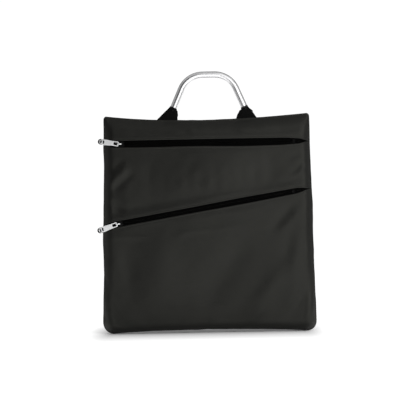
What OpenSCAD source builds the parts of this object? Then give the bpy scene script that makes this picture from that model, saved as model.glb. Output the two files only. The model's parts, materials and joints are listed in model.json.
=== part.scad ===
// Flat zipped portfolio case with an arched tube handle. Millimetres, +Z up, front of the case towards -Y.
// Origin: middle of the whole case's footprint, on the surface that it stands on.

/* [Case] */
// Width of the case across its base
case_w = 385; // [372:1:395]
// How much wider the base is than the top
flare = 15; // [0:1:18]
// Height of the top corners
case_h = 392; // [384:1:400]
// How far the sides draw in between the corners
side_bow = 0.5; // [0:0.5:2.5]
// How far the top edge dips between its corners
top_dip = 9.5; // [4:0.5:10]
// How far the bottom edge lifts between its corners
base_lift = 3; // [0:0.5:5]
// Corner radius at the base
base_r = 20; // [15:1:25]
// Corner radius at the top
top_r = 7; // [5:1:10]
// How far the front stands out from the seam
front_d = 14; // [14:0.5:15]
// How far the back stands out from the seam
back_d = 10; // [10:0.5:14]
// Thickness of the padded fabric panels
panel_t = 3; // [3:0.1:3.2]

/* [Zips] */
// Height of the upper zip's middle
upper_z = 340.3; // [338:0.1:342]
// Slope of the upper zip in degrees
upper_slope = 0; // [0:0.1:0.5]
// Height of the lower zip where it crosses the middle of the case
lower_z = 224.5; // [220:0.5:226]
// Slope of the lower zip in degrees
lower_slope = 9.6; // [8:0.1:10]
// Width of the upper slot between its fabric lips
upper_slot_w = 12.2; // [10:0.1:14]
// Width of the lower slot between its fabric lips
lower_slot_w = 9.9; // [9.8:0.1:12]
// Length of a pull tab from its pivot bar
pull_len = 36.4; // [32:0.1:38]
// Width of a pull tab at its free end
pull_w = 10.5; // [10:0.1:12]
// Turn of the upper pull tab away from its zip, in degrees
upper_turn = 8.6; // [0:0.1:10]
// Turn of the lower pull tab away from its zip, in degrees
lower_turn = -9.6; // [-10:0.1:0]

/* [Handle] */
// Outer diameter of the handle tube
tube_d = 12; // [11:0.5:12]
// Wall of the handle tube
tube_wall = 1.5; // [1:0.1:2]
// Height of the tube's centre line at the top of the arch
handle_z = 462.5; // [450:0.5:470]
// Half the straight length at the top of the arch
handle_flat = 10.5; // [8:0.5:14]
// Bend radius of the tube's centre line
bend_r = 42; // [40:1:43]
// How far each leg leans out from upright, in degrees
leg_lean = 23.5; // [22:0.5:25]
// Height of the pins that the handle swings on
pin_z = 392.5; // [392:0.5:394]
// How far the handle sits to the right of the middle of the case
handle_x = 4.8; // [3:0.1:5.5]
// Width of the webbing where it leaves the top seam
webbing_w = 36; // [32:1:38]

/* [Hidden] */
$fn = 48;

// Where the case stands in the origin's frame: the pull tabs overhang its left side and stand off its front
case_x = 3.5;
seam_y = 3.8;

// Seam: half the gap between the panels there, and the panels' thickness there
seam_gap = 1.25;
seam_t = 1.1;
// Margins over which the panels slope down to the seam
side_margin = 23;
top_margin = 34;
base_margin = 30;
// Distances from an edge at which the fabric grids have a line
side_steps = [0, 2.5, 6, 11, 17, 23.5];
top_steps = [0, 1, 2.5, 5, 7.5, 12, 18, 25, 30, 34.5];
base_steps = [0, 1, 3, 6, 10, 15, 20.5, 30.5];
// Upright grid lines between the two side margins
mid_lines = 7;
// The slot between the lips closes over these lengths before the side seams
close_left = 20;
close_right = 27;
lining_t = 0.6;
lining_d = 5.1;
lining_ramp = 20;
binding_w = 8;
binding_t = 1.4;

// Zip: tape, coil, and gap between the two rows for the slider's post
tape_t = 0.8;
tape_w = 15;
row_gap = 0.65;
coil_w = 2.75;
coil_h = 1.6;
coil_left = 172;
coil_right = 158;
fit_gap = 0.05;
tape_y = -(front_d - panel_t - fit_gap);
stop_len = 2.5;

// Slider: half its length, its place along each zip, and the depth of each of its faces
slider_half = 6.5;
upper_slider_s = -154;
lower_slider_s = -161.3;
plate_t = 1.1;
front_plate_y = tape_y - coil_h - 0.15;
back_plate_y = tape_y + tape_t + 0.45;
bridge_w = 2.6;
bridge_top = 3.8;
bridge_t = 1.2;
bar_r = 0.75;
bar_s = -4.4;
bar_y = front_plate_y - plate_t - 1.5;
eye_w = 5;
eye_len = 8.35;

// Handle: leg geometry, end fittings and pins
arc_z = handle_z - bend_r;
arc_deg = 90 - leg_lean;
leg_top_x = handle_flat + bend_r * sin(arc_deg);
leg_top_z = arc_z + bend_r * cos(arc_deg);
pin_r = 2;
pin_clear = 0.08;
pin_dx = leg_top_x + (leg_top_z - pin_z) * tan(leg_lean);
ear_gap = 17;
ear_t = 1.8;
ear_r = 3.8;
yoke_z = 4.3;
yoke_half = 2.1;
socket_r = 6.6;
socket_len = 4;
disc_t = 2;
disc_gap = 6.8 / cos(leg_lean);
plug_len = 12;
leg_len = (leg_top_z - pin_z) / cos(leg_lean) - disc_gap - disc_t;
// The straight stretches run a little way over the bends, which are a hair thinner
lap = 0.3;
ease = 0.02;
webbing_t = 1.2;
webbing_x = 71;
tail_len = 18;

// ---- outline of the case: half its width, and its top and bottom edges ----
function round_in(d, r) = d < r ? r - sqrt(r * r - (r - d) * (r - d)) : 0;
function half_w(z) =
    case_w / 2 - flare / 2 * z / case_h - side_bow * sin(180 * max(0, min(1, z / case_h)))
    - round_in(max(0, z), base_r) - round_in(max(0, case_h - z), top_r);
function top_z(x) = case_h - top_dip * (1 - pow(min(1, abs(2 * x / (case_w - flare))), 2));
function base_z(x) = base_lift * (1 - pow(min(1, abs(2 * x / (case_w - 2 * base_r))), 2));

// ---- how far the case is filled out at a point: 0 on the seam, 1 on the flat middle ----
function rise(d, margin) = sin(90 * max(0, min(1, d / margin)));
function fill(x, z, w) =
    rise(w - abs(x), side_margin) * rise(top_z(x) - z, top_margin) * rise(z - base_z(x), base_margin);
function outer(depth, f) = seam_gap + seam_t + (depth - seam_gap - seam_t) * f;
function inner(depth, f) = outer(depth, f) - seam_t - (panel_t - seam_t) * f;

// ---- slots and zips ----
function zip_z(x, mid, slope) = mid + x * tan(slope);
function slot_half(x, w) =
    w / 2 * max(0.08, min(1, (case_w / 2 - 3 - abs(x)) / (x < 0 ? close_left : close_right)));
function upper_edge(x, side) =
    zip_z(x, upper_z, upper_slope) + side * slot_half(x, upper_slot_w) / cos(upper_slope);
function lower_edge(x, side) =
    zip_z(x, lower_z, lower_slope) + side * slot_half(x, lower_slot_w) / cos(lower_slope);
function reversed(list) = [for (i = [len(list) - 1 : -1 : 0]) list[i]];

// Height of one grid line: counted up from the lower edge, then down from the upper edge
function line_z(x, low, high, low_steps, high_steps, i) =
    i < len(low_steps) ? low(x) + low_steps[i] : high(x) - high_steps[i - len(low_steps)];

// Grid over a patch of the case: each entry is [x, z, fill]. The grid starts "inset" inside the side seams.
function patch(low, high, low_steps, high_steps, inset) = [
    for (i = [0 : len(low_steps) + len(high_steps) - 1])
        let (
            left = -half_w(line_z(-case_w / 2, low, high, low_steps, high_steps, i)),
            right = half_w(line_z(case_w / 2, low, high, low_steps, high_steps, i)),
            steps = [for (s = side_steps) if (s >= inset) s],
            margin = steps[len(steps) - 1],
            middle = [for (k = [1 : mid_lines]) let (t = k / (mid_lines + 1))
                (left + margin) * (1 - t) + (right - margin) * t],
            xs = concat([for (s = steps) left + s], middle, [for (s = reversed(steps)) right - s])
        )
        [for (x = xs)
            let (z = line_z(x, low, high, low_steps, high_steps, i))
            [x, z, fill(x, z, x < 0 ? -left : right)]]
];

// Closed sheet between two grids of points that share their layout
module sheet(front, back) {
    cols = len(front[0]);
    rows = len(front);
    n = rows * cols;
    function quad(a, b, c, d) = [[a, b, c], [a, c, d]];
    faces = concat(
        [for (i = [0 : rows - 2], j = [0 : cols - 2])
            let (a = i * cols + j) each quad(a, a + cols, a + cols + 1, a + 1)],
        [for (i = [0 : rows - 2], j = [0 : cols - 2])
            let (a = n + i * cols + j) each quad(a, a + 1, a + cols + 1, a + cols)],
        [for (j = [0 : cols - 2]) each quad(j, j + 1, n + j + 1, n + j)],
        [for (j = [0 : cols - 2])
            let (a = n - cols + j) each quad(a + 1, a, n + a, n + a + 1)],
        [for (i = [0 : rows - 2])
            let (a = i * cols) each quad(a + cols, a, n + a, n + a + cols)],
        [for (i = [0 : rows - 2])
            let (a = i * cols + cols - 1) each quad(a, a + cols, n + a + cols, n + a)]
    );
    polyhedron(concat([for (r = front) each r], [for (r = back) each r]), faces, convexity = 4);
}

// Places a child drawn from the middle of the seam plane
module in_case() {
    translate([case_x, seam_y, 0]) children();
}

// ---- fabric ----
module front_panel(low, high, low_steps, high_steps) {
    grid = patch(low, high, low_steps, high_steps, 0);
    in_case() sheet(
        [for (r = grid) [for (p = r) [p[0], -outer(front_d, p[2]), p[1]]]],
        [for (r = grid) [for (p = r) [p[0], -inner(front_d, p[2]), p[1]]]]
    );
}

module back_panel() {
    grid = patch(function(x) base_z(x), function(x) top_z(x), base_steps, reversed(top_steps), 0);
    color([0.14, 0.14, 0.14]) in_case() sheet(
        [for (r = grid) [for (p = r) [p[0], inner(back_d, p[2]), p[1]]]],
        [for (r = grid) [for (p = r) [p[0], outer(back_d, p[2]), p[1]]]]
    );
}

module front_top_panel() {
    color([0.16, 0.16, 0.16]) front_panel(
        function(x) upper_edge(x, 1), function(x) top_z(x), [0], reversed(top_steps)
    );
}

module front_middle_panel() {
    color([0.15, 0.15, 0.15]) front_panel(
        function(x) lower_edge(x, 1), function(x) upper_edge(x, -1),
        [0, 25], [25, 0]
    );
}

module front_lower_panel() {
    color([0.16, 0.16, 0.16]) front_panel(
        function(x) base_z(x), function(x) lower_edge(x, -1), base_steps, [25, 0]
    );
}

// Wall between the front pocket and the main compartment, from the seams to the underside of the upper zip
module pocket_lining() {
    top = upper_z - tape_w - 3;
    grid = patch(
        function(x) base_z(x) + side_steps[1], function(x) top,
        [for (s = base_steps) if (s > 1) s], [lining_ramp, 2 * lining_ramp / 3, lining_ramp / 3, 0],
        side_steps[2]
    );
    // Depth of the lining's front face: shallow at the seams, and forward to the front panel at its top edge
    function lining_y(x, z, f) =
        let (flat = binding_t / 2 + fit_gap + lining_t + (lining_d - binding_t / 2 - lining_t) * f)
        let (up = max(0, 1 - (top - z) / lining_ramp))
        flat + max(0, inner(front_d, f) - 0.3 - flat) * up;
    color([0.10, 0.10, 0.11]) in_case() sheet(
        [for (r = grid) [for (p = r) [p[0], -lining_y(p[0], p[1], p[2]), p[1]]]],
        [for (r = grid) [for (p = r) [p[0], -lining_y(p[0], p[1], p[2]) + lining_t, p[1]]]]
    );
}

// Outline of the case, anticlockwise from the bottom left, drawn in by "inset"
function outline(inset) = let (
        zs = concat(
            [0.5, 2, 5, 9, 14, 20], [for (k = [1 : 7]) 20 + k * 45], [case_h - 7, case_h - 4, case_h - 1]
        ),
        side = [for (z = zs) [half_w(z) - inset, max(z, inset + base_z(half_w(z)))]],
        xs = [-150, -100, -50, 0, 50, 100, 150]
    )
    concat(
        [for (x = xs) [x, base_z(x) + inset]],
        [for (p = side) [p[0], min(p[1], case_h - inset)]],
        [for (x = reversed(xs)) [x, top_z(x) - inset]],
        [for (p = reversed(side)) [-p[0], min(p[1], case_h - inset)]]
    );

// Bound seam allowance that runs round the inside of the seam, cut away where the webbing passes through it
module seam_binding() {
    edge = 1.2;
    color([0.08, 0.08, 0.08]) in_case() difference() {
        rotate([90, 0, 0]) translate([0, 0, -binding_t / 2]) linear_extrude(binding_t) difference() {
            polygon(outline(edge));
            polygon(outline(edge + binding_w));
        }
        for (side = [-1, 1])
            translate([side * webbing_x - webbing_w / 2 - 1, -5, case_h - 30]) cube([webbing_w + 2, 10, 40]);
    }
}

// ---- zips ----
// Draws a child along a zip: X along it, Z across it
module on_zip(mid, slope) {
    in_case() translate([0, 0, mid]) rotate([0, -slope, 0]) children();
}

module zip_tape(mid, slope, side) {
    near = side * row_gap / cos(slope);
    far = side * tape_w / cos(slope);
    grid = patch(
        function(x) zip_z(x, mid, slope) + min(near, far), function(x) zip_z(x, mid, slope) + max(near, far),
        [0], [0], side_steps[1]
    );
    // The tape lies behind the panels, a little further behind where they slope and along its outer edge
    function tape_front(p) = let (out = abs(p[1] - zip_z(p[0], mid, slope)) * cos(slope) / tape_w)
        -(inner(front_d, p[2]) - fit_gap - 0.4 * (1 - p[2]) - 0.2 * out);
    color([0.03, 0.03, 0.03]) in_case() sheet(
        [for (r = grid) [for (p = r) [p[0], tape_front(p), p[1]]]],
        [for (r = grid) [for (p = r) [p[0], tape_front(p) + tape_t, p[1]]]]
    );
}

module zip_coil(mid, slope, side) {
    low = side > 0 ? row_gap : -row_gap - coil_w;
    color([0.02, 0.02, 0.02]) on_zip(mid, slope)
        translate([-coil_left, tape_y - coil_h, low])
            cube([coil_left + coil_right, coil_h - fit_gap / 2, coil_w]);
}

// Clamps over both rows' ends, beside the closed slider
module left_stops(mid, slope, slider_s) {
    x = slider_s - slider_half - 0.4 - stop_len;
    color([0.05, 0.05, 0.05]) on_zip(mid, slope)
        for (side = [-1, 1])
            translate([x, tape_y - coil_h - 0.9, side > 0 ? row_gap : -row_gap - coil_w])
                cube([stop_len, 0.85, coil_w]);
}

// One clamp across both rows at the end that the slider opens towards
module right_stop(mid, slope) {
    color([0.05, 0.05, 0.05]) on_zip(mid, slope)
        translate([coil_right - 2 * stop_len, tape_y - coil_h - 0.9, -row_gap - coil_w])
            cube([2 * stop_len, 0.85, 2 * (row_gap + coil_w)]);
}

module slider_plate(half) {
    rotate([90, 0, 0]) linear_extrude(plate_t, center = true) polygon([
        [-slider_half, -half + 1], [-slider_half + 1, -half], [1, -half], [slider_half, -half + 1],
        [slider_half, half - 1], [1, half], [-slider_half + 1, half], [-slider_half, half - 1]
    ]);
}

// Two plates joined by a thin post between the rows, with flanges beside the coils
module slider_body(mid, slope, slider_s) {
    half = 4.6;
    flange_t = 0.8;
    flange_z = row_gap + coil_w + fit_gap;
    flange_y = tape_y - 0.2;
    color([0.10, 0.10, 0.10]) on_zip(mid, slope) translate([slider_s, 0, 0]) {
        translate([0, front_plate_y - plate_t / 2, 0]) slider_plate(half);
        translate([0, back_plate_y + plate_t / 2, 0]) slider_plate(half - 0.3);
        translate([-slider_half + 0.5, front_plate_y - 0.1, -row_gap + 0.2])
            cube([5, back_plate_y - front_plate_y + 0.2, 2 * row_gap - 0.4]);
        for (side = [-1, 1])
            translate([-3, front_plate_y - 0.1, side > 0 ? flange_z : -flange_z - flange_t])
                cube([slider_half + 2, flange_y - front_plate_y + 0.1, flange_t]);
    }
}

module slider_bridge(mid, slope, slider_s) {
    foot_y = front_plate_y - plate_t;
    top_y = foot_y - bridge_top;
    left = -slider_half;
    right = 2.3;
    chamfer = 1.2;
    color([0.75, 0.75, 0.76]) on_zip(mid, slope) translate([slider_s, 0, bridge_w / 2])
        mirror([0, 0, 1]) linear_extrude(bridge_w) difference() {
            polygon([
                [left, foot_y], [left, top_y + chamfer], [left + chamfer, top_y],
                [right - chamfer, top_y], [right, top_y + chamfer], [right, foot_y]
            ]);
            translate([left + bridge_t, top_y + bridge_t])
                square([right - left - 2 * bridge_t, bridge_top - bridge_t + 1]);
        }
}

// Flat tab with an eye round the bridge, a round free end and two slots across it
module pull_tab(mid, slope, slider_s, turn) {
    eye_end_w = pull_w - 1;
    round_x = pull_len - pull_w / 2;
    slot_len = 5;
    color([0.82, 0.83, 0.84]) on_zip(mid, slope)
        translate([slider_s + bar_s, bar_y, 0]) rotate([0, 180 + turn, 0]) {
            rotate([90, 0, 0]) linear_extrude(2 * bar_r, center = true) difference() {
                union() {
                    polygon([
                        [-bar_r, -eye_end_w / 2], [round_x, -pull_w / 2], [round_x, pull_w / 2],
                        [-bar_r, eye_end_w / 2]
                    ]);
                    translate([round_x, 0]) circle(r = pull_w / 2);
                }
                translate([-bar_r - 1, -eye_w / 2]) square([eye_len + bar_r + 1, eye_w]);
                for (x = [pull_len - 5.4, pull_len - 9.9])
                    translate([x - 0.6, -slot_len / 2]) square([1.2, slot_len]);
            }
            translate([0, 0, -eye_w / 2 - 1]) cylinder(r = bar_r, h = eye_w + 2);
        }
}

module upper_tape_top() { zip_tape(upper_z, upper_slope, 1); }
module upper_tape_bottom() { zip_tape(upper_z, upper_slope, -1); }
module upper_coil_top() { zip_coil(upper_z, upper_slope, 1); }
module upper_coil_bottom() { zip_coil(upper_z, upper_slope, -1); }
module upper_left_stops() { left_stops(upper_z, upper_slope, upper_slider_s); }
module upper_right_stop() { right_stop(upper_z, upper_slope); }
module upper_slider_body() { slider_body(upper_z, upper_slope, upper_slider_s); }
module upper_slider_bridge() { slider_bridge(upper_z, upper_slope, upper_slider_s); }
module upper_pull_tab() { pull_tab(upper_z, upper_slope, upper_slider_s, upper_turn); }
module lower_tape_top() { zip_tape(lower_z, lower_slope, 1); }
module lower_tape_bottom() { zip_tape(lower_z, lower_slope, -1); }
module lower_coil_top() { zip_coil(lower_z, lower_slope, 1); }
module lower_coil_bottom() { zip_coil(lower_z, lower_slope, -1); }
module lower_left_stops() { left_stops(lower_z, lower_slope, lower_slider_s); }
module lower_right_stop() { right_stop(lower_z, lower_slope); }
module lower_slider_body() { slider_body(lower_z, lower_slope, lower_slider_s); }
module lower_slider_bridge() { slider_bridge(lower_z, lower_slope, lower_slider_s); }
module lower_pull_tab() { pull_tab(lower_z, lower_slope, lower_slider_s, lower_turn); }

// ---- webbing ----
// Strap folded over a handle pin: its two layers run down into the top seam
module webbing_loop(side) {
    pin_x = handle_x + side * pin_dx;
    base_x = side * webbing_x;
    fold_r = pin_r + pin_clear + webbing_t;
    fold_half = ear_gap / 2 - 0.3;
    seam_top = top_z(webbing_x) + 1;
    // The two layers leave the pin at this angle below its middle, and lie together from meet_z down
    leave = 35;
    meet_z = pin_z - 5.6;
    color([0.05, 0.05, 0.05]) in_case() intersection() {
        difference() {
            union() {
                translate([pin_x - 50, 0, pin_z]) rotate([0, 90, 0]) cylinder(r = fold_r, h = 100);
                translate([pin_x - 50, 0, 0]) rotate([90, 0, 90]) linear_extrude(100) polygon([
                    [-webbing_t, seam_top - tail_len], [webbing_t, seam_top - tail_len], [webbing_t, meet_z],
                    [fold_r * cos(leave), pin_z - fold_r * sin(leave)],
                    [-fold_r * cos(leave), pin_z - fold_r * sin(leave)], [-webbing_t, meet_z]
                ]);
            }
            translate([pin_x - 51, 0, pin_z]) rotate([0, 90, 0]) cylinder(r = pin_r + pin_clear, h = 102);
            translate([pin_x - 51, 0, 0]) rotate([90, 0, 90]) linear_extrude(102)
                polygon([[0, meet_z], [pin_r * 0.9, pin_z - 0.8], [-pin_r * 0.9, pin_z - 0.8]]);
        }
        // Front view of the strap: gathered between the fitting's ears, and fanned out to the seam
        translate([0, 10, 0]) rotate([90, 0, 0]) linear_extrude(20) polygon([
            [base_x - webbing_w / 2, seam_top - tail_len - 1],
            [base_x + webbing_w / 2, seam_top - tail_len - 1],
            [base_x + webbing_w / 2, seam_top], [pin_x + fold_half, pin_z - fold_r - 1],
            [pin_x + fold_half, pin_z + fold_r + 1], [pin_x - fold_half, pin_z + fold_r + 1],
            [pin_x - fold_half, pin_z - fold_r - 1], [base_x - webbing_w / 2, seam_top]
        ]);
    }
}

module webbing_loop_left() { webbing_loop(-1); }
module webbing_loop_right() { webbing_loop(1); }

// ---- handle ----
// Places a child on the right leg: Z down along it from the end of the bend
module on_leg() {
    translate([leg_top_x, 0, leg_top_z]) rotate([0, 180 - leg_lean, 0]) children();
}

// Solid arch along the handle's centre line
module arch(r) {
    translate([-handle_flat - lap, 0, handle_z]) rotate([0, 90, 0])
        cylinder(r = r, h = 2 * (handle_flat + lap));
    for (side = [0, 1]) mirror([side, 0, 0]) {
        translate([handle_flat, 0, arc_z]) rotate([90, 0, 0]) rotate([0, 0, leg_lean])
            rotate_extrude(angle = arc_deg) translate([bend_r, 0]) circle(r = r - ease);
        on_leg() translate([0, 0, -lap]) cylinder(r = r, h = leg_len + lap);
    }
}

module handle_tube() {
    bore_r = tube_d / 2 - tube_wall;
    color([0.88, 0.88, 0.89]) in_case() translate([handle_x, 0, 0]) difference() {
        arch(tube_d / 2);
        arch(bore_r);
        // Opens the bore at both cut ends
        for (side = [0, 1]) mirror([side, 0, 0])
            on_leg() translate([0, 0, leg_len - 1]) cylinder(r = bore_r, h = 2);
    }
}

// Fitting on the tube's end: a plug and socket along the leg, and a yoke whose two ears carry the pin
module handle_end(side) {
    half = ear_gap / 2 + ear_t;
    color([0.07, 0.07, 0.07]) in_case() translate([handle_x, 0, 0]) mirror([side > 0 ? 0 : 1, 0, 0])
        difference() {
            union() {
                difference() {
                    union() {
                        on_leg() translate([0, 0, leg_len - socket_len])
                            cylinder(r = socket_r, h = socket_len + disc_t);
                        translate([pin_dx - half, 0, pin_z]) rotate([0, 90, 0])
                            cylinder(r = ear_r, h = 2 * half);
                        translate([pin_dx, yoke_half, pin_z]) rotate([90, 0, 0]) linear_extrude(2 * yoke_half)
                            polygon([[-half, 0], [half, 0], [half, 4.5], [4.5, 9], [-9, 6.8], [-half, 5.8]]);
                    }
                    on_leg() cylinder(r = tube_d / 2 + fit_gap / 2, h = leg_len);
                    // Room between the ears for the folded webbing
                    translate([pin_dx - ear_gap / 2, 0, pin_z]) rotate([0, 90, 0])
                        cylinder(r = yoke_z, h = ear_gap);
                    translate([pin_dx - ear_gap / 2, -ear_r - 1, pin_z - 10])
                        cube([ear_gap, 2 * ear_r + 2, 10]);
                    translate([pin_dx - ear_gap / 2, -ear_r - 1, pin_z - 1])
                        cube([ear_gap, 2 * ear_r + 2, 2]);
                }
                on_leg() translate([0, 0, leg_len - plug_len])
                    cylinder(r = tube_d / 2 - tube_wall - fit_gap / 2, h = plug_len + disc_t);
            }
            translate([pin_dx - 20, 0, pin_z]) rotate([0, 90, 0]) cylinder(r = pin_r, h = 40);
        }
}

module handle_pin(side) {
    color([0.55, 0.55, 0.56]) in_case() translate([handle_x + side * pin_dx - ear_gap / 2 - ear_t, 0, pin_z])
        rotate([0, 90, 0]) cylinder(r = pin_r, h = ear_gap + 2 * ear_t);
}

module handle_end_left() { handle_end(-1); }
module handle_end_right() { handle_end(1); }
module handle_pin_left() { handle_pin(-1); }
module handle_pin_right() { handle_pin(1); }

back_panel();
front_top_panel();
front_middle_panel();
front_lower_panel();
pocket_lining();
seam_binding();
upper_tape_top();
upper_tape_bottom();
upper_coil_top();
upper_coil_bottom();
upper_left_stops();
upper_right_stop();
upper_slider_body();
upper_slider_bridge();
upper_pull_tab();
lower_tape_top();
lower_tape_bottom();
lower_coil_top();
lower_coil_bottom();
lower_left_stops();
lower_right_stop();
lower_slider_body();
lower_slider_bridge();
lower_pull_tab();
webbing_loop_left();
webbing_loop_right();
handle_tube();
handle_end_left();
handle_end_right();
handle_pin_left();
handle_pin_right();
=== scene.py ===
"""Looks of a flat zipped portfolio case with an arched tube handle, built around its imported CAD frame.

Lengths are in millimetres in the case's own frame, as in the CAD: X from its middle line, Y from the seam
plane (the front is towards -Y) and Z from the surface it stands on. put() turns them into metres in the row's
frame.
"""

import json
import math

import bpy
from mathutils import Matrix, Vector, noise


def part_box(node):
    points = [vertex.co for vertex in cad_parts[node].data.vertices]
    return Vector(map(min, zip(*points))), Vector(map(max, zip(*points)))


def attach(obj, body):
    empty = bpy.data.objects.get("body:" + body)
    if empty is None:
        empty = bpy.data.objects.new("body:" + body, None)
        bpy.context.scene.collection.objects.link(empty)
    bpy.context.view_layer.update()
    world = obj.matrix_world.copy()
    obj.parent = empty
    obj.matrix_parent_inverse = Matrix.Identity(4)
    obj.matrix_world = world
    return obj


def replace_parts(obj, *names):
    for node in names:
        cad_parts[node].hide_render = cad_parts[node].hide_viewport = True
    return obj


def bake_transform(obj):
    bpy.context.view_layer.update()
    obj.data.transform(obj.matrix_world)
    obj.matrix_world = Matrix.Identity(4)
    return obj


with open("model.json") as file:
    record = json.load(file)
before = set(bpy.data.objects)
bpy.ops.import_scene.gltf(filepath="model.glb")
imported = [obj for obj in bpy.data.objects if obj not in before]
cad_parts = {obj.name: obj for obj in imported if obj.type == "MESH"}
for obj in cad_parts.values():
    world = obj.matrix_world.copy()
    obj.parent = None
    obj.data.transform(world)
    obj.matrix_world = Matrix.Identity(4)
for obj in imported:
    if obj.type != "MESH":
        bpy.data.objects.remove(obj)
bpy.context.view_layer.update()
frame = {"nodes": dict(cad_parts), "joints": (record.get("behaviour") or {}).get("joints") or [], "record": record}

MM = 0.001

# ---------------- places, from the frame
back_lo, back_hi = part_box("back_panel")
binding_lo, binding_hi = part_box("seam_binding")
CASE_X = (back_lo[0] + back_hi[0]) / 2 / MM
SEAM_Y = (binding_lo[1] + binding_hi[1]) / 2 / MM
CASE_W = (back_hi[0] - back_lo[0]) / MM
CASE_H = back_hi[2] / MM
FRONT_D = SEAM_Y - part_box("front_middle_panel")[0][1] / MM
BACK_D = back_hi[1] / MM - SEAM_Y
JOINTS = {j["name"]: j for j in frame["joints"]}
JOINT_PLACES = {j["name"]: j["pos_m"] for j in frame["record"]["behaviour"]["joints"] if "pos_m" in j}


def case_point(p):
    """A point in metres in the row's frame, as case millimetres."""
    return Vector((p[0] / MM - CASE_X, p[1] / MM - SEAM_Y, p[2] / MM))


def put(p):
    return ((p[0] + CASE_X) * MM, (p[1] + SEAM_Y) * MM, p[2] * MM)


def centre(node):
    lo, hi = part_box(node)
    return case_point([(a + b) / 2 for a, b in zip(lo, hi)])


class Zip:
    """One zip: the line it runs on, and where its coil starts and ends and its slider is along that line.

    bar is the point that the pull hinges on, and pull the direction that it points in.
    """

    def __init__(self, name, slots):
        joint = JOINTS[name + "_zip_slide"]
        self.name = name
        self.angle = math.atan2(joint["axis"][2], joint["axis"][0])
        mid = (centre(name + "_coil_top") + centre(name + "_coil_bottom")) / 2
        self.z0 = mid.z - mid.x * math.tan(self.angle)
        lo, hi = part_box(name + "_coil_top")
        self.start = (lo[0] / MM - CASE_X) / math.cos(self.angle)
        self.end = (hi[0] / MM - CASE_X) / math.cos(self.angle)
        self.coil_front = lo[1] / MM - SEAM_Y
        self.tape_y = hi[1] / MM - SEAM_Y
        self.slider = self.along(centre(name + "_slider_body"))
        self.bar = case_point(JOINT_PLACES[name + "_pull_flip"])
        flip = JOINTS[name + "_pull_flip"]["axis"]
        self.pull = Vector((-flip[2], 0, flip[0]))
        self.slots = slots

    def along(self, p):
        return p.x * math.cos(self.angle) + (p.z - self.z0) * math.sin(self.angle)

    def z(self, x):
        return self.z0 + x * math.tan(self.angle)

    def at(self, s, n, y):
        """The case point s along the zip, n across it and y deep."""
        c, k = math.cos(self.angle), math.sin(self.angle)
        return (s * c - n * k, y, self.z0 + s * k + n * c)

    def open_half(self, x, side):
        """Half the open width of the slot at x, above (1) or below (-1) the zip."""
        stops = self.slots[side]
        for (x0, w0), (x1, w1) in zip(stops, stops[1:]):
            if x <= x1:
                t = max(0.0, (x - x0) / (x1 - x0))
                return w0 + (w1 - w0) * t * t * (3 - 2 * t)
        return stops[-1][1]


# Half widths of the slots along the case: (x, half width) above and below each zip
UPPER = Zip("upper", {
    1: [(-181, 0.6), (-168, 5.4), (-120, 6.0), (60, 6.3), (138, 6.2), (163, 4.6), (184, 0.0)],
    -1: [(-181, 0.6), (-168, 5.4), (-120, 6.3), (-20, 5.7), (70, 7.0), (128, 6.2), (160, 4.4), (184, 0.0)],
})
LOWER = Zip("lower", {
    1: [(-186, 0.4), (-172, 5.0), (-120, 4.9), (-30, 4.9), (70, 5.5), (120, 4.9), (156, 4.6), (187, 0.0)],
    -1: [(-186, 0.4), (-172, 5.0), (-120, 4.8), (-30, 4.7), (70, 5.3), (120, 4.9), (156, 4.4), (187, 0.0)],
})
ZIPS = (UPPER, LOWER)

# ---------------- camera and lights
# Seen straight from the front and far off, with the case turned a degree anticlockwise. VIEW_W is the width
# in metres that is seen at the case, and VIEW_X and VIEW_Z are its middle.
CAMERA_FAR = 3.0
VIEW_W = 0.7535
VIEW_X, VIEW_Z = 0.0072, 0.2196
ROLL = 1.02


def make_camera():
    cam = bpy.data.objects.new("camera", bpy.data.cameras.new("camera"))
    bpy.context.collection.objects.link(cam)
    cam.location = (VIEW_X, -CAMERA_FAR, VIEW_Z)
    cam.rotation_euler = (math.radians(90), math.radians(ROLL), 0)
    cam.data.sensor_width = 36
    cam.data.lens = 36 * CAMERA_FAR / VIEW_W
    cam.data.clip_end = 50
    bpy.context.scene.camera = cam


def area_light(name, place, aim, size, watts):
    light = bpy.data.lights.new(name, "AREA")
    light.shape = "RECTANGLE"
    light.size, light.size_y = size
    light.energy = watts
    o = bpy.data.objects.new(name, light)
    o.location = place
    o.rotation_euler = (Vector(aim) - Vector(place)).to_track_quat("-Z", "Y").to_euler()
    bpy.context.collection.objects.link(o)


make_camera()


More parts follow.
